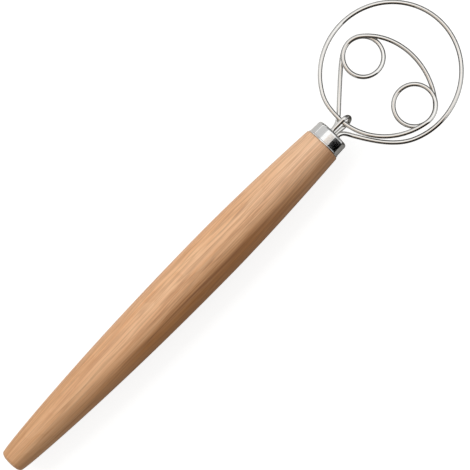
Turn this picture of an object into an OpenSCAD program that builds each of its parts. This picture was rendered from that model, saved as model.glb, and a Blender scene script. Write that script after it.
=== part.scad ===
// Dough whisk: a turned wooden handle, a steel ferrule and a ring of bent steel wire.
// Millimetres. The handle lies along X with its butt at the low end, and the ring lies flat.
// The origin is on the surface that the whisk lies on, under the middle of its outline.

/* [Handle] */
// Length of the wood that shows, from the butt to the ferrule
handle_len = 247; // [200:1:300]
// Largest diameter of the handle
handle_d = 28.5; // [26:0.5:34]
// Place of the largest diameter, measured from the butt
swell_x = 163; // [120:1:180]
// Diameter just behind the rounded butt
butt_d = 14.8; // [13:0.2:18]
// Diameter of the flat in the middle of the butt
butt_flat_d = 8; // [5:0.5:10]
// Length of the butt's rounding
butt_round = 2.4; // [1.5:0.1:4]
// Diameter of the shoulder beside the ferrule
shoulder_d = 22.2; // [21.6:0.1:25]
// Radius of the shoulder's rounding
shoulder_round = 0.9; // [0.4:0.1:1.2]

/* [Ferrule] */
// Outer diameter of the ferrule at its open end
ferrule_d = 20.5; // [19:0.1:21]
// Length of the ferrule that shows
ferrule_len = 8.8; // [7:0.1:12]
// Thickness of the ferrule's sheet
ferrule_wall = 0.8; // [0.6:0.1:1.2]
// How much narrower the ferrule is at its closed end
ferrule_taper = 0.4; // [0:0.1:0.8]
// Radius of the ferrule's rounded outer corner
ferrule_round = 1.6; // [1:0.1:2]
// Width of the rolled bead at the ferrule's open end
bead_w = 1.0; // [0.8:0.1:1.4]
// How far the bead stands out
bead_h = 0.3; // [0.1:0.05:0.5]
// Clearance all round between the wooden tenon and the ferrule
tenon_fit = 0.05; // [0.02:0.01:0.1]

/* [Wire bore] */
// Diameter of the bore that holds the ends of the wires
bore_d = 9.0; // [8.8:0.1:10]
// Depth of the bore behind the face of the ferrule
bore_depth = 34; // [25:1:50]
// Clearance all round between the glue and what it fills
glue_fit = 0.02; // [0.01:0.01:0.05]
// How far the glue ends behind the face of the ferrule
glue_recess = 0.3; // [0.2:0.1:1]

/* [Wire] */
// Diameter of the wire
wire_d = 2.5; // [2.2:0.1:2.7]
// Height step between the two passes of a wire that crosses itself
cross_step = 3.2; // [3.2:0.1:3.6]

/* [Ring] */
// Length of the ring along the handle, on the wire's centreline
ring_l = 79.6; // [74:0.2:90]
// Width of the ring across the handle, on the wire's centreline
ring_w = 77.4; // [72:0.2:86]
// How far the ring's centre stands off the handle's axis
ring_y = 0.75; // [0:0.05:1.5]
// Distance from the ferrule's face to the wire that crosses the neck
neck_gap = 7.9; // [7:0.1:12]
// How far the crossing at the neck is drawn into the ring
neck_pull = 1.7; // [0.5:0.1:3]
// How far the first side of the ring dips at its start
start_dip = 1.2; // [0.8:0.1:1.6]

/* [Loops] */
// Radius of the upper loop, on the wire's centreline
upper_r = 11.3; // [9:0.1:12]
// Radius of the lower loop, on the wire's centreline
lower_r = 11.7; // [9:0.1:12]
// Distance of the upper loop's centre from the ring's, across the handle
upper_y = 17.2; // [16:0.1:19]
// Distance of the lower loop's centre from the ring's, across the handle
lower_y = 22; // [20:0.1:22.6]
// Distance of the upper loop's centre from the ring's, towards the neck
upper_back = 4.2; // [2:0.1:8]
// Distance of the lower loop's centre from the ring's, towards the neck
lower_back = 3.6; // [2:0.1:8]

/* [Hidden] */
$fn = 96;

wire_r = wire_d / 2;
mouth_x = handle_len + ferrule_len;
overall_len = mouth_x + neck_gap - neck_pull + ring_l + wire_r;

// Places of the wires where they enter the ferrule, across the handle and up, for a wire of
// the diameter that they were measured on. A thicker wire needs wider places.
measured_wire_d = 2.5;
wire_pitch = wire_d / measured_wire_d;
start_at = [-2.8, 0.9] * wire_pitch;
end_at = [1.7, -1.3] * wire_pitch;
hook_front_at = [1.5, 1.95] * wire_pitch;
hook_back_at = [-1.2, -1.9] * wire_pitch;
tail_gap = bore_depth / 22;
mouth_run = 0.24 * wire_d;

ring_at = [mouth_x + neck_gap - neck_pull + ring_l / 2, ring_y];
upper_at = ring_at + [-upper_back, upper_y];
lower_at = ring_at + [-lower_back, -lower_y];
neck_at = [mouth_x + neck_gap, 0.4 * wire_d];

// Angles, in degrees and turning anticlockwise seen from above.
ring_from = -115;
ring_to = 150;
lower_from = -100;
lower_to = 318;
upper_from = 50;
upper_to = 470;
start_angle = -60.6;
end_angle = 222.4;

// Every stretch of wire is a list of points: straight, an arc or a smooth curve.
function ease(t) = t * t * (3 - 2 * t);
function mix(a, b, t) = a + (b - a) * t;
function raise(p, z) = [p[0], p[1], z];
function turn(a) = [cos(a), sin(a)];
function heading(a) = [-sin(a), cos(a)];
function unit(v) = v / norm(v);

// A smooth curve that leaves p along u and reaches q along v, with its height eased between.
function curve_point(p, a, b, q, t) =
    p * pow(1 - t, 3) + a * 3 * t * pow(1 - t, 2) + b * 3 * t * t * (1 - t) + q * pow(t, 3);
function curve(p, u, q, v, reach, z_from, z_to, steps) =
    let (span = norm(q - p), a = p + u * reach[0] * span, b = q - v * reach[1] * span)
    [for (i = [0 : steps - 1]) let (t = i / steps)
        raise(curve_point(p, a, b, q, t), mix(z_from, z_to, ease(t)))];

// The ring is a slightly long oval.
function ring_point(a) = ring_at + [cos(a) * ring_l / 2, sin(a) * ring_w / 2];
function ring_heading(a) = unit([-sin(a) * ring_l / 2, cos(a) * ring_w / 2]);
function ring_z(a) = -start_dip * (1 - ease(min(1, (a - ring_from) / 70)));

// A loop sinks by one crossing step in each full turn.
function loop_point(centre, r, a) = centre + r * turn(a);
function loop_z(a, from) = cross_step * (0.5 - (a - from) / 360);
function loop(centre, r, from, to, steps) =
    [for (i = [0 : steps - 1]) let (a = mix(from, to, i / steps))
        raise(loop_point(centre, r, a), loop_z(a, from))];

start_in = [mouth_x + mouth_run, start_at[0]];
start_knee = start_in + [2.32, -2.28] * wire_d;
start_slope = turn(start_angle);
end_out = [mouth_x + mouth_run, end_at[0]];
end_knee = neck_at + [1.16, 2.16] * wire_d;
end_dip = -(cross_step + 0.12 * wire_d);

wire_path = concat(
    [[mouth_x - bore_depth + tail_gap, start_at[0], start_at[1]]],
    curve(start_in, [1, 0], start_knee, start_slope, [0.4, 0.3], start_at[1], -start_dip / 2, 6),
    curve(start_knee, start_slope, ring_point(ring_from), ring_heading(ring_from), [0.33, 0.33],
        -start_dip / 2, -start_dip, 10),
    [for (i = [0 : 63]) let (a = mix(ring_from, ring_to, i / 64)) raise(ring_point(a), ring_z(a))],
    curve(ring_point(ring_to), ring_heading(ring_to), neck_at, [0, -1], [0.36, 0.36], 0, 0, 7),
    curve(neck_at, unit([0.1, -1]), loop_point(lower_at, lower_r, lower_from), heading(lower_from),
        [0.352, 0.405], 0, cross_step / 2, 14),
    loop(lower_at, lower_r, lower_from, lower_to, 30),
    curve(loop_point(lower_at, lower_r, lower_to), heading(lower_to),
        loop_point(upper_at, upper_r, upper_from), heading(upper_from),
        [0.375, 0.385], loop_z(lower_to, lower_from), cross_step / 2, 16),
    loop(upper_at, upper_r, upper_from, upper_to, 32),
    curve(loop_point(upper_at, upper_r, upper_to), heading(upper_to), end_knee, turn(end_angle),
        [0.14, 0.55], loop_z(upper_to, upper_from), end_dip, 9),
    curve(end_knee, turn(end_angle), end_out, [-1, 0], [0.44, 0.35], end_dip, end_at[1], 8),
    [raise(end_out, end_at[1]),
        [mouth_x - bore_depth + tail_gap, end_at[0], end_at[1]]]);

// The hook is a hairpin that goes over and under the wire at the neck.
hook_half = [0.64, 1.28] * wire_d;
hook_mid_y = -0.06 * wire_d;
hook_ahead = 0.28 * wire_d;
hook_side = unit([0, hook_half[0], hook_half[1]]);
hook_r = norm(hook_half);
hook_centre = [neck_at[0] + hook_ahead, hook_mid_y, 0];
hook_path = concat(
    [[mouth_x - bore_depth + tail_gap, hook_front_at[0], hook_front_at[1]],
        [mouth_x + mouth_run, hook_front_at[0], hook_front_at[1]]],
    [for (i = [0 : 12]) let (a = 90 - 15 * i)
        hook_centre + hook_r * (cos(a) * [1, 0, 0] + sin(a) * hook_side)],
    [[mouth_x + mouth_run, hook_back_at[0], hook_back_at[1]],
        [mouth_x - bore_depth + tail_gap, hook_back_at[0], hook_back_at[1]]]);
hook_normal = cross([1, 0, 0], hook_side);

// A round wire swept along a path, with its rings set square to the path.
wire_sides = 12;
function path_heading(path, i) =
    unit(unit(path[min(i + 1, len(path) - 1)] - path[min(i, len(path) - 2)])
        + unit(path[max(i, 1)] - path[max(i - 1, 0)]));
function wire_ring(path, i, normal) =
    let (ahead = path_heading(path, i), side = unit(cross(ahead, normal)), up = cross(side, ahead))
    [for (k = [0 : wire_sides - 1]) let (a = 360 * k / wire_sides)
        path[i] + wire_r * (cos(a) * side + sin(a) * up)];
module swept_wire(path, normal) {
    rings = len(path);
    n = wire_sides;
    points = [for (i = [0 : rings - 1]) each wire_ring(path, i, normal)];
    walls = [for (i = [0 : rings - 2], k = [0 : n - 1]) let (a = i * n + k, b = i * n + (k + 1) % n)
        each [[a, b, b + n], [a, b + n, a + n]]];
    first_cap = [for (k = [1 : n - 2]) [0, k + 1, k]];
    last = (rings - 1) * n;
    last_cap = [for (k = [1 : n - 2]) [last, last + k, last + k + 1]];
    polyhedron(points = points, faces = concat(walls, first_cap, last_cap));
}

// Least gap between two stretches of the wire that are far apart along it.
apart = 9;
last_point = len(wire_path) - 1;
least_gap = min([for (i = [1 : last_point - apart - 1], j = [i + apart : last_point - 1])
    norm(wire_path[i] - wire_path[j])]) - wire_d;
echo(least_gap = least_gap);

// Radius of the handle at a distance from the butt.
butt_power = 0.78;
shoulder_power = 1.7;
function handle_r(x) = x < swell_x
    ? mix(butt_d, handle_d, sin(90 * pow((x - butt_round) / (swell_x - butt_round), butt_power))) / 2
    : mix(handle_d, shoulder_d, pow((x - swell_x) / (handle_len - swell_x), shoulder_power)) / 2;

module placed() {
    translate([-overall_len / 2, -ring_y, handle_d / 2])
        children();
}

// Turns an outline of (distance along the handle, radius) points round the handle's axis.
module turned(outline) {
    rotate([0, 90, 0])
        rotate_extrude()
            polygon([for (p = outline) [p[1], p[0]]]);
}

module rod_x(d, from, to) {
    translate([from, 0, 0])
        rotate([0, 90, 0])
            cylinder(d = d, h = to - from);
}

tenon_d = ferrule_d - ferrule_taper - 2 * (ferrule_wall + tenon_fit);
tenon_len = ferrule_len - ferrule_wall - tenon_fit;

module handle() {
    body_steps = 44;
    corner_steps = 8;
    body_to = handle_len - shoulder_round;
    shoulder_r = handle_r(body_to);
    outline = concat(
        [[0, 0]],
        [for (i = [0 : corner_steps - 1]) let (a = 90 * i / corner_steps)
            [butt_round * (1 - cos(a)), mix(butt_flat_d, butt_d, sin(a)) / 2]],
        [for (i = [0 : body_steps]) let (x = mix(butt_round, body_to, i / body_steps))
            [x, handle_r(x)]],
        [for (i = [1 : corner_steps]) let (a = 90 * i / corner_steps)
            [body_to + shoulder_round * sin(a), shoulder_r - shoulder_round * (1 - cos(a))]],
        [[handle_len, tenon_d / 2], [handle_len + tenon_len, tenon_d / 2],
            [handle_len + tenon_len, 0]]);
    color([0.80, 0.60, 0.42])
        placed()
            difference() {
                turned(outline);
                rod_x(bore_d, mouth_x - bore_depth, mouth_x + 1);
            }
}

module ferrule() {
    steps = 8;
    outer = ferrule_d / 2;
    face = (ferrule_d - ferrule_taper) / 2;
    inner = face - ferrule_wall;
    outline = concat(
        [[handle_len, inner]],
        [for (i = [0 : steps]) let (a = 180 * i / steps)
            [handle_len + bead_w / 2 * (1 - cos(a)), outer + bead_h * sin(a)]],
        [for (i = [0 : steps]) let (a = 90 * i / steps)
            [mouth_x - ferrule_round * (1 - sin(a)), face - ferrule_round * (1 - cos(a))]],
        [[mouth_x, bore_d / 2], [mouth_x - ferrule_wall, bore_d / 2],
            [mouth_x - ferrule_wall, inner]]);
    color([0.86, 0.86, 0.88])
        placed()
            turned(outline);
}

module whisk_wire() {
    color([0.78, 0.78, 0.80])
        placed()
            swept_wire(wire_path, [0, 0, 1]);
}

module neck_hook() {
    color([0.72, 0.72, 0.75])
        placed()
            swept_wire(hook_path, hook_normal);
}

module glue_fill() {
    from = mouth_x - bore_depth + glue_fit;
    to = mouth_x - glue_recess;
    color([0.86, 0.80, 0.62])
        placed()
            difference() {
                rod_x(bore_d - 2 * glue_fit, from, to);
                for (at = [start_at, end_at, hook_front_at, hook_back_at])
                    translate([0, at[0], at[1]])
                        rod_x(wire_d + 2 * glue_fit, from + tail_gap - 2 * glue_fit, to + 1);
            }
}

handle();
ferrule();
whisk_wire();
neck_hook();
glue_fill();
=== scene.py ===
"""A dough whisk: a turned wooden handle, a steel ferrule and a ring of bent steel wire.

Lengths are in millimetres in the classes' fields and turned to metres where a mesh is made.
X runs along the handle from the butt to the ring's tip, and Z is up, square to the ring.
"""

import logging
import math
from dataclasses import dataclass, field
from enum import Enum
from typing import Iterable, Sequence

import bmesh
import bpy
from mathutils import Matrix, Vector

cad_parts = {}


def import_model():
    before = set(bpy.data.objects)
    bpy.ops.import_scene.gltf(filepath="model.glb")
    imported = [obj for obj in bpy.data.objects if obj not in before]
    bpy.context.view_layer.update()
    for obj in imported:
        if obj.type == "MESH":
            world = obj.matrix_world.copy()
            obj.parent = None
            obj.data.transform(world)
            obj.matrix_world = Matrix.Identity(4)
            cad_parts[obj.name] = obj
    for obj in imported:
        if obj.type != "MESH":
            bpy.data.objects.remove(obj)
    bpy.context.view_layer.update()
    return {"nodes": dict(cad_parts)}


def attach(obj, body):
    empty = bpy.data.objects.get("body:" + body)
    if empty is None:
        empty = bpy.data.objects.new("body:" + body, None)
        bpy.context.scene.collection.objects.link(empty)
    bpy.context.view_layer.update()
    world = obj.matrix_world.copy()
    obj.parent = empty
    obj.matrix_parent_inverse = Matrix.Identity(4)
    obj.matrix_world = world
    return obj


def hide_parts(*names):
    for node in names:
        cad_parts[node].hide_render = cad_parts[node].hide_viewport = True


log = logging.getLogger("dough_whisk")

MM = 0.001
BODY = "root"

Point = tuple[float, float, float]
Outline = list[tuple[float, float]]


class Slot(Enum):
    """The material slots of the record."""

    WOOD = "wood"
    FERRULE = "ferrule_steel"
    WIRE = "wire_steel"
    GLUE = "glue"


def linear(hex_colour: str) -> tuple[float, float, float, float]:
    """Turns an sRGB hex colour to a linear one.

    Args:
        hex_colour: Six hex digits, such as "d9a97c".

    Returns:
        Red, green, blue and alpha, linear.
    """
    parts = [int(hex_colour[i:i + 2], 16) / 255 for i in (0, 2, 4)]
    red, green, blue = (c / 12.92 if c <= 0.04045 else ((c + 0.055) / 1.055) ** 2.4 for c in parts)
    return (red, green, blue, 1.0)


def mix(a: float, b: float, t: float) -> float:
    """The value a share t of the way from a to b."""
    return a + (b - a) * t


def ease(t: float) -> float:
    """A smooth step from 0 to 1, level at both ends."""
    return t * t * (3 - 2 * t)


def turn(degrees: float) -> Vector:
    """The flat direction at an angle."""
    return Vector((math.cos(math.radians(degrees)), math.sin(math.radians(degrees))))


def heading(degrees: float) -> Vector:
    """The direction of travel, anticlockwise round a circle, at an angle."""
    return Vector((-math.sin(math.radians(degrees)), math.cos(math.radians(degrees))))


class Nodes:
    """A node tree of a material, of the world or of a modifier, with one call for each node."""

    def __init__(self, tree: bpy.types.NodeTree) -> None:
        """Takes a tree and empties it."""
        self.tree = tree
        tree.nodes.clear()

    def add(self, kind: str, inputs: dict | None = None, **settings) -> bpy.types.Node:
        """Adds a node with its settings, values and links.

        Args:
            kind: The node's type.
            inputs: Values, or (node, output name) pairs, by the input's name or number.
            **settings: The node's own properties.

        Returns:
            The node.
        """
        node = self.tree.nodes.new(kind)
        for name, value in settings.items():
            setattr(node, name, value)
        for name, value in (inputs or {}).items():
            if isinstance(value, tuple) and isinstance(value[0], bpy.types.Node):
                self.tree.links.new(value[0].outputs[value[1]], node.inputs[name])
            else:
                node.inputs[name].default_value = value
        return node

    def any_ray(self, *kinds: str) -> bpy.types.Node:
        """One where a ray of any of the kinds arrives, and nought elsewhere.

        Args:
            *kinds: Outputs of the Light Path node.

        Returns:
            The node whose Value is that number.
        """
        path = self.add("ShaderNodeLightPath")
        found = (path, kinds[0])
        for kind in kinds[1:]:
            node = self.add("ShaderNodeMath", {0: found, 1: (path, kind)}, operation="MAXIMUM")
            found = (node, "Value")
        return found[0]


class Shader(Nodes):
    """A material's node tree, with its output and one Principled shader."""

    def __init__(self, name: str) -> None:
        """Starts a material by name."""
        self.material = bpy.data.materials.new(name)
        self.material.use_nodes = True
        super().__init__(self.material.node_tree)
        self.shader = self.add("ShaderNodeBsdfPrincipled")
        self.add("ShaderNodeOutputMaterial", {"Surface": (self.shader, "BSDF")})

    def feed(self, name: str, node: bpy.types.Node, output: str | int) -> None:
        """Links a node's output to an input of the Principled shader."""
        self.tree.links.new(node.outputs[output], self.shader.inputs[name])

    def hold(self, **values: float | tuple) -> None:
        """Sets inputs of the Principled shader, named with _ for each space."""
        for name, value in values.items():
            self.shader.inputs[name.replace("_", " ")].default_value = value

    def noise(self, source: tuple, scale: tuple[float, float, float], detail: float = 2.0,
              roughness: float = 0.5) -> bpy.types.Node:
        """A noise whose features are stretched by a scale for each axis.

        Args:
            source: The (node, output name) of its coordinates.
            scale: Features per unit of the coordinates.
            detail: Number of finer layers.
            roughness: How strong those are.

        Returns:
            The noise's node.
        """
        sized = self.add("ShaderNodeMapping", {"Vector": source, "Scale": scale})
        return self.add("ShaderNodeTexNoise", {"Vector": (sized, "Vector"), "Scale": 1.0,
                                               "Detail": detail, "Roughness": roughness})

    def share(self, source: tuple, low: float, high: float, most: float) -> bpy.types.Node:
        """A share that climbs from 0 at low to its most at high."""
        return self.add("ShaderNodeMapRange", {"Value": source, "From Min": low, "From Max": high,
                                               "To Max": most})

    def blend(self, share: bpy.types.Node, source: tuple, colour: str) -> bpy.types.Node:
        """Lays a hex colour over a (node, output) by a share. The result is output 2."""
        return self.add("ShaderNodeMix", {0: (share, "Result"), 6: source, 7: linear(colour)},
                        data_type="RGBA")

    def ramp(self, source: tuple, stops: Sequence[tuple[float, str]]) -> bpy.types.Node:
        """A colour ramp.

        Args:
            source: The (node, output name) that drives it.
            stops: Places from 0 to 1, each with its hex colour.

        Returns:
            The ramp's node.
        """
        node = self.add("ShaderNodeValToRGB", {"Fac": source})
        while len(node.color_ramp.elements) < len(stops):
            node.color_ramp.elements.new(0.5)
        for element, (place, colour) in zip(node.color_ramp.elements, stops):
            element.position = place
            element.color = linear(colour)
        return node


@dataclass(frozen=True)
class TurnedWood:
    """Pale hardwood, turned on a lathe, sanded and oiled.

    Fibres run the whole length in fine streaks that turn slowly round the handle. Growth rings
    meet the turned surface as faint arches, one darker streak runs along the low side, and the
    oil gives a satin sheen. Painted light and shade lie in the colour too: paler towards the
    ferrule end, darker at the butt, and redder and darker along the low side, where the wood's
    own heartwood and painted shade are mixed.
    """

    light: str = "efc59b"
    middle: str = "e4b286"
    dark: str = "cc8e5c"
    vessel: str = "7d4620"
    # Painted shade: the butt end is painted darker with this colour, where less light falls.
    butt: str = "bd8a58"
    axis: tuple[float, float] = (-0.75, 14.25)
    skin_radius: float = 12.5
    spiral: float = 0.0012
    ring_width: float = 3.4
    pith: tuple[float, float] = (24.0, 30.0)
    wander: float = 5.0
    # Painted light: the handle is painted paler with this colour towards the ferrule end, where the light falls more
    # strongly.
    pale: str = "f7d6b6"
    # Painted shade, partly real: redder, darker colour laid on the low side, away from the light, where the heartwood
    # also lies.
    heartwood_and_shade_colour: str = "b0702f"
    heart_from: float = 0.5
    heart_to: float = -8.0
    heart_rag: float = 7.0
    streak_y: float = -6.3
    streak_half: float = 0.8

    def along_skin(self, s: Shader) -> tuple[bpy.types.Node, bpy.types.Node]:
        """Coordinates in millimetres, about the handle's axis and spread over its skin.

        Args:
            s: The material's tree.

        Returns:
            The node of the true coordinates, and the node of those that follow the turned skin.
        """
        place = s.add("ShaderNodeTexCoord")
        true = s.add("ShaderNodeMapping", {"Vector": (place, "Object"), "Scale": (1000.0,) * 3,
                                           "Location": (0.0, -self.axis[0], -self.axis[1])})
        part = s.add("ShaderNodeSeparateXYZ", {"Vector": (true, "Vector")})
        flat = s.add("ShaderNodeVectorMath", {0: (true, "Vector"), 1: (0.0, 1.0, 1.0)},
                     operation="MULTIPLY")
        way = s.add("ShaderNodeVectorMath", {0: (flat, "Vector")}, operation="NORMALIZE")
        angle = s.add("ShaderNodeMath", {0: (part, "X"), 1: self.spiral}, operation="MULTIPLY")
        turned = s.add("ShaderNodeVectorRotate", {"Vector": (way, "Vector"), "Angle": (angle, "Value")},
                       rotation_type="X_AXIS")
        run = s.add("ShaderNodeCombineXYZ", {"X": (part, "X")})
        skin = s.add("ShaderNodeVectorMath", {0: (turned, "Vector"), 1: (self.skin_radius,) * 3,
                                              2: (run, "Vector")}, operation="MULTIPLY_ADD")
        wander = s.noise((skin, "Vector"), (0.011, 0.09, 0.09), detail=2.0)
        skin = s.add("ShaderNodeVectorMath", {0: (wander, "Color"), 1: (0.0, self.wander, self.wander),
                                              2: (skin, "Vector")}, operation="MULTIPLY_ADD")
        return true, skin

    def year_rings(self, s: Shader, true: bpy.types.Node) -> bpy.types.Node:
        """The share of late wood, from 0 to 1, in rings about the pith."""
        tilt = (0.0, math.radians(1.6), math.radians(-2.2))
        about = s.add("ShaderNodeMapping", {"Vector": (true, "Vector"), "Rotation": tilt,
                                            "Location": (0.0, *self.pith), "Scale": (0.03, 1.0, 1.0)})
        wave = s.noise((true, "Vector"), (0.02, 0.07, 0.07), detail=3.0)
        reach = s.add("ShaderNodeVectorMath", {0: (about, "Vector")}, operation="LENGTH")
        moved = s.add("ShaderNodeMath", {0: (wave, "Fac"), 1: 14.0, 2: (reach, "Value")},
                      operation="MULTIPLY_ADD")
        years = s.add("ShaderNodeMath", {0: (moved, "Value"), 1: self.ring_width}, operation="DIVIDE")
        phase = s.add("ShaderNodeMath", {0: (years, "Value")}, operation="FRACT")
        return s.ramp((phase, "Value"), [(0.0, "000000"), (0.5, "2c2c2c"), (0.86, "d8d8d8"),
                                         (0.94, "ffffff"), (1.0, "000000")])

    def low_streak(self, s: Shader, skin: bpy.types.Node, fibre: bpy.types.Node) -> bpy.types.Node:
        """The share of one darker streak along the low side, from 0 to 1."""
        part = s.add("ShaderNodeSeparateXYZ", {"Vector": (skin, "Vector")})
        off = s.add("ShaderNodeMath", {0: (part, "Y"), 1: self.streak_y + self.wander / 2}, operation="SUBTRACT")
        width = s.add("ShaderNodeMath", {0: (off, "Value")}, operation="ABSOLUTE")
        near = s.add("ShaderNodeMapRange", {"Value": (width, "Value"), "From Max": self.streak_half,
                                            "To Min": 1.0, "To Max": 0.0})
        top = s.add("ShaderNodeMapRange", {"Value": (part, "Z"), "From Min": 4.0, "From Max": 8.0})
        start = s.add("ShaderNodeMapRange", {"Value": (part, "X"), "From Min": -110.0,
                                             "From Max": -60.0})
        end = s.add("ShaderNodeMapRange", {"Value": (part, "X"), "From Min": 20.0, "From Max": 60.0,
                                           "To Min": 1.0, "To Max": 0.0})
        share = near
        for other in (top, start, end):
            share = s.add("ShaderNodeMath", {0: (share, 0), 1: (other, "Result")}, operation="MULTIPLY")
        uneven = s.add("ShaderNodeMapRange", {"Value": (fibre, "Fac"), "From Min": 0.3, "From Max": 0.6,
                                              "To Min": 0.3, "To Max": 1.0})
        return s.add("ShaderNodeMath", {0: (share, "Value"), 1: (uneven, "Result")},
                     operation="MULTIPLY")

    def heartwood_and_shade(self, s: Shader, skin: bpy.types.Node, fibre: bpy.types.Node) -> bpy.types.Node:
        """The share of redder, darker wood on the low side, which thins out at both ends. It is partly the wood's own
        heartwood and partly painted shade on the side away from the light.
        """
        part = s.add("ShaderNodeSeparateXYZ", {"Vector": (skin, "Vector")})
        ragged = s.add("ShaderNodeMath", {0: (fibre, "Fac"), 1: self.heart_rag, 2: (part, "Y")},
                       operation="MULTIPLY_ADD")
        middle = (self.wander + self.heart_rag) / 2
        across = s.add("ShaderNodeMapRange", {"Value": (ragged, "Value"),
                                              "From Min": self.heart_to + middle,
                                              "From Max": self.heart_from + middle,
                                              "To Min": 1.0, "To Max": 0.0})
        start = s.add("ShaderNodeMapRange", {"Value": (part, "X"), "From Min": -150.0,
                                             "From Max": -70.0, "To Min": 0.35})
        end = s.add("ShaderNodeMapRange", {"Value": (part, "X"), "From Min": 0.0, "From Max": 60.0,
                                           "To Min": 1.0, "To Max": 0.7})
        most = s.add("ShaderNodeMath", {0: (start, "Result"), 1: (end, "Result")}, operation="MULTIPLY")
        return s.add("ShaderNodeMath", {0: (across, "Result"), 1: (most, "Value")}, operation="MULTIPLY")

    def build(self) -> bpy.types.Material:
        """Makes the material, with its pattern in millimetres of Object coordinates."""
        s = Shader("turned_hardwood")
        true, skin = self.along_skin(s)
        fibre = s.noise((skin, "Vector"), (0.011, 0.42, 0.42), detail=5.0, roughness=0.72)
        lines = s.noise((skin, "Vector"), (0.018, 0.62, 0.62), detail=3.0, roughness=0.7)
        tone = s.noise((skin, "Vector"), (0.009, 0.1, 0.1), detail=2.0)
        late = self.year_rings(s, true)
        streak = self.low_streak(s, skin, fibre)
        grain = s.noise((skin, "Vector"), (0.012, 0.55, 0.55), detail=1.0)
        centred = s.add("ShaderNodeMath", {0: (grain, "Fac"), 1: 0.5}, operation="SUBTRACT")
        off = s.add("ShaderNodeMath", {0: (centred, "Value")}, operation="ABSOLUTE")
        hairs = s.add("ShaderNodeMapRange", {"Value": (off, "Value"), "From Max": 0.09, "To Min": 0.30,
                                             "To Max": 0.0})
        colour = s.ramp((fibre, "Fac"), [(0.22, self.dark), (0.46, self.middle), (0.75, self.light)])
        warm = s.share((tone, "Fac"), 0.35, 0.7, 0.35)
        colour = s.blend(warm, (colour, 0), "dda070")
        colour = s.blend(s.share((late, 0), 0.0, 1.0, 0.24), (colour, 2), self.dark)
        part = s.add("ShaderNodeSeparateXYZ", {"Vector": (true, "Vector")})
        # Painted light: paler towards the ferrule end.
        colour = s.blend(s.share((part, "X"), 10.0, 75.0, 0.4), (colour, 2), self.pale)
        # Painted shade, partly real heartwood: the low side is painted redder and darker.
        colour = s.blend(s.share((self.heartwood_and_shade(s, skin, fibre), 0), 0.0, 1.0, 0.78), (colour, 2), self.heartwood_and_shade_colour)
        colour = s.blend(s.share((streak, 0), 0.0, 1.0, 0.75), (colour, 2), self.vessel)
        vessels = s.share((lines, "Fac"), 0.56, 0.64, 0.24)
        colour = s.blend(vessels, (colour, 2), self.vessel)
        colour = s.blend(hairs, (colour, 2), self.vessel)
        # Painted shade: darker towards the butt end.
        end = s.add("ShaderNodeMapRange", {"Value": (part, "X"), "From Min": -172.0, "From Max": -70.0,
                                           "To Min": 0.42, "To Max": 0.0})
        colour = s.blend(end, (colour, 2), self.butt)
        s.feed("Base Color", colour, 2)
        rough = s.add("ShaderNodeMapRange", {"Value": (fibre, "Fac"), "To Min": 0.36, "To Max": 0.52})
        s.feed("Roughness", rough, "Result")
        s.hold(Coat_Weight=0.15, Coat_Roughness=0.3, Specular_IOR_Level=0.4)
        relief = s.add("ShaderNodeMath", {0: (vessels, "Result"), 1: -1.0, 2: (fibre, "Fac")},
                       operation="MULTIPLY_ADD")
        bump = s.add("ShaderNodeBump", {"Height": (relief, "Value"), "Strength": 0.3, "Distance": 0.0001})
        s.feed("Normal", bump, "Normal")
        return s.material


@dataclass(frozen=True)
class PolishedSteel:
    """Stainless steel, polished bright, with faint handling marks.

    It mirrors the lamps as clean white bands, the dark side of the room as black ones, and blurs
    a little where it has been wiped.
    """

    name: str = "polished_stainless_sheet"
    colour: str = "dfdfde"
    rough_low: float = 0.07
    rough_high: float = 0.17
    mark_size: float = 3.0
    line_scale: tuple[float, float, float] = (6.0, 0.4, 0.4)
    line_height: float = 0.00001

    def build(self) -> bpy.types.Material:
        """Makes the material, with its marks in millimetres of Object coordinates."""
        s = Shader(self.name)
        place = s.add("ShaderNodeTexCoord")
        marks_map = s.add("ShaderNodeMapping", {"Vector": (place, "Object"),
                                                "Scale": (1000 / self.mark_size,) * 3})
        marks = s.add("ShaderNodeTexNoise", {"Vector": (marks_map, "Vector"), "Scale": 1.0, "Detail": 4.0,
                                             "Roughness": 0.6})
        rough = s.add("ShaderNodeMapRange", {"Value": (marks, "Fac"), "From Min": 0.3, "From Max": 0.75,
                                             "To Min": self.rough_low, "To Max": self.rough_high})
        s.feed("Roughness", rough, "Result")
        lines_map = s.add("ShaderNodeMapping", {"Vector": (place, "Object"),
                                                "Scale": tuple(1000 * v for v in self.line_scale)})
        lines = s.add("ShaderNodeTexNoise", {"Vector": (lines_map, "Vector"), "Scale": 1.0, "Detail": 3.0})
        bump = s.add("ShaderNodeBump", {"Height": (lines, "Fac"), "Strength": 0.25,
                                        "Distance": self.line_height})
        s.feed("Normal", bump, "Normal")
        s.hold(Base_Color=linear(self.colour), Metallic=1.0)
        return s.material


@dataclass(frozen=True)
class CuredResin:
    """Pale amber resin, poured and cured, with a glossy skin and small bubbles."""

    colour: str = "c9b084"
    deep: str = "a98c5c"

    def build(self) -> bpy.types.Material:
        """Makes the material, with its bubbles in millimetres of Object coordinates."""
        s = Shader("cured_resin")
        place = s.add("ShaderNodeTexCoord")
        cloud_map = s.add("ShaderNodeMapping", {"Vector": (place, "Object"), "Scale": (900.0,) * 3})
        cloud = s.add("ShaderNodeTexNoise", {"Vector": (cloud_map, "Vector"), "Scale": 1.0, "Detail": 3.0})
        colour = s.ramp((cloud, "Fac"), [(0.35, self.deep), (0.65, self.colour)])
        s.feed("Base Color", colour, "Color")
        rough = s.add("ShaderNodeMapRange", {"Value": (cloud, "Fac"), "To Min": 0.15, "To Max": 0.4})
        s.feed("Roughness", rough, "Result")
        bump = s.add("ShaderNodeBump", {"Height": (cloud, "Fac"), "Strength": 0.3, "Distance": 0.0002})
        s.feed("Normal", bump, "Normal")
        return s.material


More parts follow.
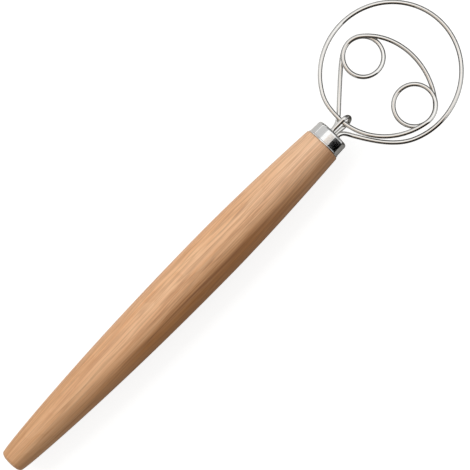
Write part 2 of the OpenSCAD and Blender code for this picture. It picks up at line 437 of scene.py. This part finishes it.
def finish_piece(piece: bpy.types.Object, material: bpy.types.Material, slot: Slot,
                 *nodes: str) -> bpy.types.Object:
    """Dresses a piece, gives it its body and hides the solids that it stands for.

    Args:
        piece: The mesh object, in place.
        material: Its finish.
        slot: Not used.
        *nodes: The solids that it replaces.

    Returns:
        The piece.
    """
    if not piece.data.materials:
        piece.data.materials.append(material)
    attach(piece, BODY)
    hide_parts(*nodes)
    log.info("%s: %d faces, finish %s", piece.name, len(piece.data.polygons), material.name)
    return piece


@dataclass(frozen=True)
class Place:
    """Where the whisk's own lengths, measured from the butt, lie in the shared frame."""

    length: float
    ring_y: float
    axis_height: float

    def at(self, x: float, y: float, z: float) -> Point:
        """A point in metres in the shared frame, from millimetres along, across and up."""
        return ((x - self.length / 2) * MM, (y - self.ring_y) * MM, (z + self.axis_height) * MM)


def lathe(name: str, outline: Outline, place: Place, segments: int = 144,
          closed: bool = False) -> bpy.types.Object:
    """Turns an outline round the handle's axis.

    Args:
        name: The piece's name.
        outline: Points of (distance along the handle, radius), in millimetres.
        place: Where they lie.
        segments: Number of faces round the axis.
        closed: Whether the outline's last point joins its first, as in a ring.

    Returns:
        The piece, smooth except at its sharp corners.
    """
    bm = bmesh.new()
    rings = []
    for x, r in outline:
        if r <= 0:
            rings.append([bm.verts.new(place.at(x, 0, 0))])
            continue
        angles = (2 * math.pi * i / segments for i in range(segments))
        rings.append([bm.verts.new(place.at(x, r * math.cos(a), r * math.sin(a))) for a in angles])
    pairs = list(zip(rings, rings[1:] + ([rings[0]] if closed else [])))
    for near, far in pairs:
        for i in range(segments):
            j = (i + 1) % segments
            corners = [near[i % len(near)], near[j % len(near)], far[j % len(far)], far[i % len(far)]]
            unique = list(dict.fromkeys(corners))
            bm.faces.new(unique)
    bmesh.ops.recalc_face_normals(bm, faces=bm.faces)
    mesh = bpy.data.meshes.new(name)
    bm.to_mesh(mesh)
    bm.free()
    mesh.polygons.foreach_set("use_smooth", [True] * len(mesh.polygons))
    mesh.set_sharp_from_angle(angle=math.radians(38))
    piece = bpy.data.objects.new(name, mesh)
    bpy.context.scene.collection.objects.link(piece)
    return piece


@dataclass
class Handle:
    """The turned handle with its tenon and bore."""

    length: float = 247.0
    widest: float = 28.5
    swell_x: float = 163.0
    butt: float = 14.8
    butt_flat: float = 8.0
    butt_round: float = 2.4
    shoulder: float = 22.2
    shoulder_round: float = 0.9
    butt_power: float = 0.78
    shoulder_power: float = 1.7
    tenon: float = 18.4
    tenon_length: float = 7.95
    bore: float = 9.0
    bore_bottom: float = 221.8

    def radius(self, x: float) -> float:
        """The handle's radius at a distance from the butt."""
        if x < self.swell_x:
            share = (x - self.butt_round) / (self.swell_x - self.butt_round)
            return mix(self.butt, self.widest, math.sin(math.pi / 2 * share ** self.butt_power)) / 2
        share = (x - self.swell_x) / (self.length - self.swell_x)
        return mix(self.widest, self.shoulder, share ** self.shoulder_power) / 2

    def outline(self) -> Outline:
        """The outline from the middle of the butt, over the outside, to the bottom of the bore."""
        corner, body = 12, 110
        body_to = self.length - self.shoulder_round
        shoulder_r = self.radius(body_to)
        points = [(0.0, 0.0)]
        for i in range(corner):
            a = math.pi / 2 * i / corner
            points.append((self.butt_round * (1 - math.cos(a)),
                           mix(self.butt_flat, self.butt, math.sin(a)) / 2))
        for i in range(body + 1):
            x = mix(self.butt_round, body_to, i / body)
            points.append((x, self.radius(x)))
        for i in range(1, corner + 1):
            a = math.pi / 2 * i / corner
            points.append((body_to + self.shoulder_round * math.sin(a),
                           shoulder_r - self.shoulder_round * (1 - math.cos(a))))
        tenon_end = self.length + self.tenon_length
        points += [(self.length, self.tenon / 2), (tenon_end, self.tenon / 2),
                   (tenon_end, self.bore / 2), (self.bore_bottom, self.bore / 2), (self.bore_bottom, 0.0)]
        return points

    def build(self, place: Place, wood: bpy.types.Material) -> bpy.types.Object:
        """Makes and dresses the handle."""
        return finish_piece(lathe("turned_handle", self.outline(), place), wood, Slot.WOOD, "handle")


@dataclass
class Ferrule:
    """The steel cup over the tenon, with a rolled bead at its open end."""

    start: float = 247.0
    length: float = 8.8
    diameter: float = 20.5
    taper: float = 0.4
    wall: float = 0.8
    corner: float = 1.6
    bead_width: float = 1.0
    bead_height: float = 0.3
    hole: float = 9.0

    def outline(self) -> Outline:
        """The closed outline of the cup's wall and face."""
        steps = 14
        outer, face = self.diameter / 2, (self.diameter - self.taper) / 2
        end, inner = self.start + self.length, face - self.wall
        points = [(self.start, inner)]
        for i in range(steps + 1):
            a = math.pi * i / steps
            points.append((self.start + self.bead_width / 2 * (1 - math.cos(a)),
                           outer + self.bead_height * math.sin(a)))
        lip = 0.15
        bead_end, corner_start = self.start + self.bead_width, end - self.corner
        for share in (0.03, 0.5, 0.97):
            points.append((mix(bead_end, corner_start, share), mix(outer, face, share)))
        for i in range(steps + 1):
            a = math.pi / 2 * i / steps
            points.append((end - self.corner * (1 - math.sin(a)), face - self.corner * (1 - math.cos(a))))
        points += [(end, self.hole / 2 + lip), (end - lip, self.hole / 2),
                   (end - self.wall, self.hole / 2), (end - self.wall, inner)]
        return points

    def build(self, place: Place, steel: bpy.types.Material) -> bpy.types.Object:
        """Makes and dresses the ferrule."""
        piece = lathe("steel_ferrule", self.outline(), place, segments=160, closed=True)
        return finish_piece(piece, steel, Slot.FERRULE, "ferrule")


class WireSweep:
    """A node tree that sweeps a round wire along a line of points."""

    def __init__(self, material: bpy.types.Material) -> None:
        """Builds the tree.

        Args:
            material: The finish that it sets.
        """
        self.tree = bpy.data.node_groups.new("round_wire_sweep", "GeometryNodeTree")
        face = self.tree.interface
        face.new_socket("Line", in_out="INPUT", socket_type="NodeSocketGeometry")
        self.diameter = face.new_socket("Wire Diameter", in_out="INPUT", socket_type="NodeSocketFloat")
        self.sides = face.new_socket("Sides", in_out="INPUT", socket_type="NodeSocketInt")
        self.spacing = face.new_socket("Ring Spacing", in_out="INPUT", socket_type="NodeSocketFloat")
        face.new_socket("Wire", in_out="OUTPUT", socket_type="NodeSocketGeometry")
        nodes = Nodes(self.tree)
        start = nodes.add("NodeGroupInput")
        curve = nodes.add("GeometryNodeMeshToCurve", {"Mesh": (start, "Line")})
        even = nodes.add("GeometryNodeResampleCurve", {"Curve": (curve, "Curve"),
                                                       "Length": (start, "Ring Spacing")}, mode="LENGTH")
        half = nodes.add("ShaderNodeMath", {0: (start, "Wire Diameter"), 1: 0.5}, operation="MULTIPLY")
        section = nodes.add("GeometryNodeCurvePrimitiveCircle", {"Resolution": (start, "Sides"),
                                                                 "Radius": (half, "Value")})
        swept = nodes.add("GeometryNodeCurveToMesh", {"Curve": (even, "Curve"),
                                                      "Profile Curve": (section, "Curve"),
                                                      "Fill Caps": True})
        smooth = nodes.add("GeometryNodeSetShadeSmooth", {"Geometry": (swept, "Mesh")})
        real = nodes.add("GeometryNodeRealizeInstances", {"Geometry": (smooth, "Geometry")})
        dressed = nodes.add("GeometryNodeSetMaterial", {"Geometry": (real, "Geometry"),
                                                        "Material": material})
        nodes.add("NodeGroupOutput", {"Wire": (dressed, "Geometry")})

    def sweep(self, name: str, points: Iterable[Point], diameter: float, sides: int = 28,
              spacing: float = 0.6) -> bpy.types.Object:
        """Sweeps the wire along points.

        Args:
            name: The piece's name.
            points: The centreline, in metres.
            diameter: The wire's diameter, in millimetres.
            sides: Faces round the wire.
            spacing: Distance between its rings, in millimetres.

        Returns:
            The swept wire as a plain mesh object.
        """
        line = list(points)
        mesh = bpy.data.meshes.new(name + "_line")
        mesh.from_pydata(line, [(i, i + 1) for i in range(len(line) - 1)], [])
        guide = bpy.data.objects.new(name + "_line", mesh)
        bpy.context.scene.collection.objects.link(guide)
        modifier = guide.modifiers.new("sweep", "NODES")
        modifier.node_group = self.tree
        modifier[self.diameter.identifier] = diameter * MM
        modifier[self.sides.identifier] = sides
        modifier[self.spacing.identifier] = spacing * MM
        evaluated = guide.evaluated_get(bpy.context.evaluated_depsgraph_get())
        swept = bpy.data.meshes.new_from_object(evaluated)
        bpy.data.objects.remove(guide)
        piece = bpy.data.objects.new(name, swept)
        swept.name = name
        bpy.context.scene.collection.objects.link(piece)
        return piece


@dataclass
class WireHead:
    """The bent wire of the head and the hairpin that holds its crossing at the neck."""

    mouth_x: float = 255.8
    wire: float = 2.5
    step: float = 3.2
    ring_length: float = 79.6
    ring_width: float = 77.4
    ring_y: float = 0.75
    neck_gap: float = 7.9
    neck_pull: float = 1.7
    start_dip: float = 1.2
    upper_r: float = 11.3
    lower_r: float = 11.7
    upper_off: tuple[float, float] = (-4.2, 17.2)
    lower_off: tuple[float, float] = (-3.6, -22.0)
    start_at: tuple[float, float] = (-2.8, 0.9)
    end_at: tuple[float, float] = (1.7, -1.3)
    front_at: tuple[float, float] = (1.5, 1.95)
    back_at: tuple[float, float] = (-1.2, -1.9)
    hook_half: tuple[float, float] = (1.6, 3.2)
    hook_mid_y: float = -0.15
    tail_x: float = 223.3
    mouth_run: float = 0.6
    ring_from: float = -115.0
    ring_to: float = 150.0
    lower_from: float = -100.0
    lower_to: float = 318.0
    upper_from: float = 50.0
    upper_to: float = 470.0
    finer: int = field(default=4)

    def ring_centre(self) -> Vector:
        """The middle of the ring."""
        return Vector((self.mouth_x + self.neck_gap - self.neck_pull + self.ring_length / 2, self.ring_y))

    def ring_point(self, a: float) -> Vector:
        """A point of the ring's oval at an angle."""
        way = turn(a)
        return self.ring_centre() + Vector((way.x * self.ring_length / 2, way.y * self.ring_width / 2))

    def ring_heading(self, a: float) -> Vector:
        """The ring's direction at an angle."""
        way = heading(a)
        return Vector((way.x * self.ring_length / 2, way.y * self.ring_width / 2)).normalized()

    def loop_z(self, a: float, start: float) -> float:
        """The height of a loop, which sinks one step a turn."""
        return self.step * (0.5 - (a - start) / 360)

    def curve(self, p: Vector, u: Vector, q: Vector, v: Vector, reach: tuple[float, float],
              z_from: float, z_to: float, steps: int) -> list[Point]:
        """A smooth curve that leaves p along u and reaches q along v.

        Args:
            p: Its start.
            u: Its direction there.
            q: Its end, which isn't in the list.
            v: Its direction there.
            reach: How far it keeps each direction, as shares of its span.
            z_from: Height at its start.
            z_to: Height at its end.
            steps: Number of points.

        Returns:
            Its points, in millimetres.
        """
        span = (q - p).length
        a, b = p + u * reach[0] * span, q - v * reach[1] * span
        points = []
        for i in range(steps * self.finer):
            t = i / (steps * self.finer)
            flat = p * (1 - t) ** 3 + a * 3 * t * (1 - t) ** 2 + b * 3 * t * t * (1 - t) + q * t ** 3
            points.append((flat.x, flat.y, mix(z_from, z_to, ease(t))))
        return points

    def arc(self, centre: Vector, r: float, start: float, end: float, steps: int) -> list[Point]:
        """The points of a sinking loop, in millimetres."""
        count = steps * self.finer
        points = []
        for i in range(count):
            a = mix(start, end, i / count)
            flat = centre + r * turn(a)
            points.append((flat.x, flat.y, self.loop_z(a, start)))
        return points

    def whisk_path(self) -> list[Point]:
        """The unbroken wire's centreline, in millimetres."""
        start_in = Vector((self.mouth_x + self.mouth_run, self.start_at[0]))
        start_knee = start_in + Vector((5.8, -5.7))
        start_slope = Vector((3.1, -5.5)).normalized()
        end_out = Vector((self.mouth_x + self.mouth_run, self.end_at[0]))
        neck = Vector((self.mouth_x + self.neck_gap, 1.0))
        end_knee = neck + Vector((2.9, 5.4))
        end_slope = turn(222.4)
        end_dip = -(self.step + 0.3)
        upper = self.ring_centre() + Vector(self.upper_off)
        lower = self.ring_centre() + Vector(self.lower_off)
        lower_in = lower + self.lower_r * turn(self.lower_from)
        lower_out = lower + self.lower_r * turn(self.lower_to)
        upper_in = upper + self.upper_r * turn(self.upper_from)
        upper_out = upper + self.upper_r * turn(self.upper_to)
        lower_end_z = self.loop_z(self.lower_to, self.lower_from)
        upper_end_z = self.loop_z(self.upper_to, self.upper_from)
        path = [(self.tail_x, self.start_at[0], self.start_at[1])]
        path += self.curve(start_in, Vector((1, 0)), start_knee, start_slope, (0.4, 0.3),
                           self.start_at[1], -self.start_dip / 2, 6)
        path += self.curve(start_knee, start_slope, self.ring_point(self.ring_from),
                           self.ring_heading(self.ring_from), (0.33, 0.33),
                           -self.start_dip / 2, -self.start_dip, 10)
        for i in range(64 * self.finer):
            a = mix(self.ring_from, self.ring_to, i / (64 * self.finer))
            flat = self.ring_point(a)
            path.append((flat.x, flat.y, -self.start_dip * (1 - ease(min(1, (a - self.ring_from) / 70)))))
        path += self.curve(self.ring_point(self.ring_to), self.ring_heading(self.ring_to), neck,
                           Vector((0, -1)), (0.36, 0.36), 0, 0, 7)
        path += self.curve(neck, Vector((0.1, -1)).normalized(), lower_in, heading(self.lower_from),
                           (0.352, 0.405), 0, self.step / 2, 14)
        path += self.arc(lower, self.lower_r, self.lower_from, self.lower_to, 30)
        path += self.curve(lower_out, heading(self.lower_to), upper_in, heading(self.upper_from),
                           (0.375, 0.385), lower_end_z, self.step / 2, 16)
        path += self.arc(upper, self.upper_r, self.upper_from, self.upper_to, 32)
        path += self.curve(upper_out, heading(self.upper_to), end_knee, end_slope, (0.14, 0.55),
                           upper_end_z, end_dip, 9)
        path += self.curve(end_knee, end_slope, end_out, Vector((-1, 0)), (0.44, 0.35),
                           end_dip, self.end_at[1], 8)
        path += [(end_out.x, end_out.y, self.end_at[1]), (self.tail_x, self.end_at[0], self.end_at[1])]
        return path

    def hook_path(self) -> list[Point]:
        """The hairpin's centreline, in millimetres."""
        side = Vector((0, *self.hook_half)).normalized()
        radius = Vector(self.hook_half).length
        centre = Vector((self.mouth_x + self.neck_gap + 0.7, self.hook_mid_y, 0))
        steps = 12 * self.finer
        bend = []
        for i in range(steps + 1):
            a = math.pi / 2 - math.pi * i / steps
            bend.append(tuple(centre + radius * (math.cos(a) * Vector((1, 0, 0)) + math.sin(a) * side)))
        run_x = self.mouth_x + self.mouth_run
        front = [(self.tail_x, *self.front_at), (run_x, *self.front_at)]
        back = [(run_x, *self.back_at), (self.tail_x, *self.back_at)]
        return front + bend + back

    def build(self, place: Place, steel: bpy.types.Material) -> None:
        """Makes and dresses the bent wire and the hairpin."""
        sweep = WireSweep(steel)
        ring = sweep.sweep("bent_whisk_wire", (place.at(*p) for p in self.whisk_path()), self.wire)
        finish_piece(ring, steel, Slot.WIRE, "whisk_wire")
        hook = sweep.sweep("neck_hairpin", (place.at(*p) for p in self.hook_path()), self.wire,
                           spacing=0.3)
        finish_piece(hook, steel, Slot.WIRE, "neck_hook")


@dataclass
class Studio:
    """The plain floor, the soft light, the sheets round the set and the camera.

    Lengths of the set itself are in metres. The sheets show in polished steel alone.
    """

    centre: tuple[float, float, float] = (5.80, -1.22, 14.25)
    roll: float = 45.6
    distance: float = 1200.0
    view_width: float = 260.5
    sensor: float = 36.0
    floor_size: float = 6.0
    floor_colour: str = "a9a8a6"
    floor_lift: float = 0.80
    fill: float = 0.58
    dome_low: float = 0.16
    dome_side: float = 0.97
    neck_end: float = 0.165
    neck_top: float = 0.235
    sheet_lift: float = 0.0005

    def camera(self) -> None:
        """Looks straight down on the ring, rolled so that the handle runs up to the right."""
        data = bpy.data.cameras.new("camera")
        data.sensor_width = self.sensor
        data.lens = self.sensor * self.distance / self.view_width
        eye = bpy.data.objects.new("camera", data)
        x, y, z = self.centre
        eye.location = (x * MM, y * MM, (z + self.distance) * MM)
        eye.rotation_euler = (0.0, 0.0, -math.radians(self.roll))
        bpy.context.scene.collection.objects.link(eye)
        bpy.context.scene.camera = eye

    def plain(self, name: str, colour: str = "000000", glow: str = "ffffff",
              strength: float = 0.0) -> Shader:
        """A matt paper or cloth of one colour for the set, which may glow.

        Args:
            name: The material's name.
            colour: Its colour as sRGB hex.
            glow: The colour of its glow.
            strength: How strongly it glows, where 1 shows as that colour.

        Returns:
            The material's tree.
        """
        shading = Shader(name)
        shading.hold(Base_Color=linear(colour), Roughness=1.0, Specular_IOR_Level=0.0,
                     Emission_Color=linear(glow), Emission_Strength=strength)
        return shading

    def card(self, name: str, corners: Sequence[Point], material: bpy.types.Material) -> bpy.types.Object:
        """A flat sheet of the set, given by its corners in metres."""
        mesh = bpy.data.meshes.new(name)
        mesh.from_pydata(corners, [], [tuple(range(len(corners)))])
        mesh.materials.append(material)
        sheet = bpy.data.objects.new(name, mesh)
        bpy.context.scene.collection.objects.link(sheet)
        return sheet

    def floor(self) -> None:
        """A wide pale floor that the handle lies on, seen as white paper."""
        shading = self.plain("pale_floor", self.floor_colour)
        seen = shading.any_ray("Is Camera Ray", "Is Glossy Ray", "Is Transmission Ray")
        lift = shading.add("ShaderNodeMath", {0: (seen, "Value"), 1: self.floor_lift},
                           operation="MULTIPLY")
        shading.feed("Emission Strength", lift, "Value")
        half = self.floor_size / 2
        self.card("floor", [(-half, -half, 0), (half, -half, 0), (half, half, 0), (-half, half, 0)],
                  shading.material)

    def mirrored_only(self, sheet: bpy.types.Object) -> None:
        """Keeps a sheet out of everything but mirrors."""
        sheet.visible_camera = False
        sheet.visible_shadow = False
        sheet.visible_diffuse = False

    def flat(self, name: str, x: tuple[float, float], y: tuple[float, float],
             material: bpy.types.Material) -> None:
        """A sheet just over the floor between two places along and two across."""
        corners = ((x[0], y[0]), (x[1], y[0]), (x[1], y[1]), (x[0], y[1]))
        self.mirrored_only(self.card(name, [(*c, self.sheet_lift) for c in corners], material))

    def leaning(self, name: str, x: tuple[float, float], low: tuple[float, float],
                top: tuple[float, float], material: bpy.types.Material) -> bpy.types.Object:
        """A sheet along X between a lower and an upper edge, each given as (across, up)."""
        corners = [(x[0], *low), (x[1], *low), (x[1], *top), (x[0], *top)]
        return self.card(name, corners, material)

    def sheets(self) -> None:
        """Dark and light sheets round the whisk, which draw the lines in polished steel."""
        black = self.plain("black_cloth", "080808").material
        grey = self.plain("grey_cloth", "a6a4a0").material
        dim = self.plain("dim_cloth", "5c5a56").material
        paper = self.plain("pale_paper", "e4e3e1").material
        white = self.plain("white_board", strength=1.34).material
        warm = self.plain("warm_board", glow="ffeede")
        place = warm.add("ShaderNodeTexCoord")
        part = warm.add("ShaderNodeSeparateXYZ", {"Vector": (place, "Object")})
        fade = warm.add("ShaderNodeMapRange", {"Value": (part, "Y"), "From Min": -0.5, "From Max": 0.24,
                                               "To Min": 0.45, "To Max": 1.05})
        warm.feed("Emission Strength", fade, "Result")
        near = (-0.8, self.neck_end)
        self.mirrored_only(self.card("dark_screen", [(near[0], -0.5, 0.0), (near[1], -0.5, 0.0),
                                                     (self.neck_top, -0.5, 1.02),
                                                     (near[0], -0.5, 1.02)], black))
        for name, x, low, top, shading in (
                ("warm_board", (-1.0, 0.225), (-0.52, 1.06), (0.24, 1.12), warm.material),
                ("white_board", (-1.0, 1.0), (0.24, 1.12), (0.75, 0.96), white),
                ("ring_board", (0.225, 1.0), (-0.52, 1.06), (0.24, 1.12), white)):
            self.mirrored_only(self.leaning(name, x, low, top, shading))
        self.flat("dark_apron", near, (-0.5, -0.12), black)
        self.flat("grey_underlay", (-0.30, 0.095), (-0.12, -0.010), grey)
        self.flat("dim_underlay_low", (0.095, 0.30), (-0.12, 0.010), dim)
        self.flat("dim_underlay_high", (0.104, 0.30), (0.010, 0.12), dim)
        self.flat("side_paper", (-0.30, 0.104), (0.010, 0.30), paper)

    def lamp(self, name: str, at: Point, size: tuple[float, float], power: float) -> None:
        """A soft box that faces the whisk.

        Args:
            name: The lamp's name.
            at: Its place, in metres.
            size: Its length along X and its width, in metres.
            power: In watts.
        """
        data = bpy.data.lights.new(name, "AREA")
        data.shape = "RECTANGLE"
        data.size, data.size_y = size
        data.energy = power
        lamp = bpy.data.objects.new(name, data)
        lamp.location = at
        lamp.rotation_euler = (math.atan2(-at[1], at[2]), 0.0, 0.0)
        lamp.visible_glossy = False
        bpy.context.scene.collection.objects.link(lamp)

    def world(self) -> None:
        """White to the camera, a soft even light, and in mirrors a dome that is dim low down."""
        world = bpy.data.worlds.new("studio")
        bpy.context.scene.world = world
        world.use_nodes = True
        w = Nodes(world.node_tree)
        place = w.add("ShaderNodeTexCoord")
        part = w.add("ShaderNodeSeparateXYZ", {"Vector": (place, "Generated")})
        across = w.add("ShaderNodeMath", {0: (part, "Y")}, operation="ABSOLUTE")
        low = w.add("ShaderNodeMapRange", {"Value": (across, "Value"), "From Min": 0.55, "From Max": 0.82,
                                           "To Min": self.dome_low, "To Max": self.dome_side})
        dome = w.add("ShaderNodeMapRange", {"Value": (part, "Z"), "From Min": 0.42, "From Max": 0.66,
                                            "To Min": (low, "Result"), "To Max": 1.0})
        mirrored = w.any_ray("Is Glossy Ray", "Is Transmission Ray")
        level = w.add("ShaderNodeMapRange", {"Value": (mirrored, "Value"), "To Min": self.fill,
                                             "To Max": (dome, "Result")})
        path = w.add("ShaderNodeLightPath")
        seen = w.add("ShaderNodeMapRange", {"Value": (path, "Is Camera Ray"),
                                            "To Min": (level, "Result"), "To Max": 1.0})
        sky = w.add("ShaderNodeBackground", {"Strength": (seen, "Result")})
        w.add("ShaderNodeOutputWorld", {"Surface": (sky, "Background")})

    def build(self) -> None:
        """Sets the camera, floor, sheets, lamp and world."""
        self.camera()
        self.floor()
        self.sheets()
        self.lamp("soft_box", (0.05, 0.72, 0.76), (1.8, 0.60), 9.0)
        self.world()
        bpy.context.scene.view_settings.view_transform = "Standard"


def main() -> None:
    """Builds the whisk round its frame and reports each piece."""
    logging.basicConfig(level=logging.INFO, format="%(name)s %(message)s")
    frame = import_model()
    wood = TurnedWood().build()
    sheet = PolishedSteel().build()
    drawn = PolishedSteel(name="drawn_stainless_wire", colour="deddda", rough_low=0.03, rough_high=0.09, mark_size=2.0,
                          line_scale=(1.5, 1.5, 1.5), line_height=0.000006).build()
    resin = CuredResin().build()
    head = WireHead()
    length = head.ring_centre().x + head.ring_length / 2 + head.wire / 2
    handle = Handle()
    place = Place(length=length, ring_y=head.ring_y, axis_height=handle.widest / 2)
    Studio().build()
    handle.build(place, wood)
    Ferrule().build(place, sheet)
    head.build(place, drawn)
    glue = frame["nodes"]["glue_fill"]
    glue.data.materials.clear()
    glue.data.materials.append(resin)
    log.info("glue_fill: kept, finish %s", resin.name)


if __name__ == "__main__":
    main()
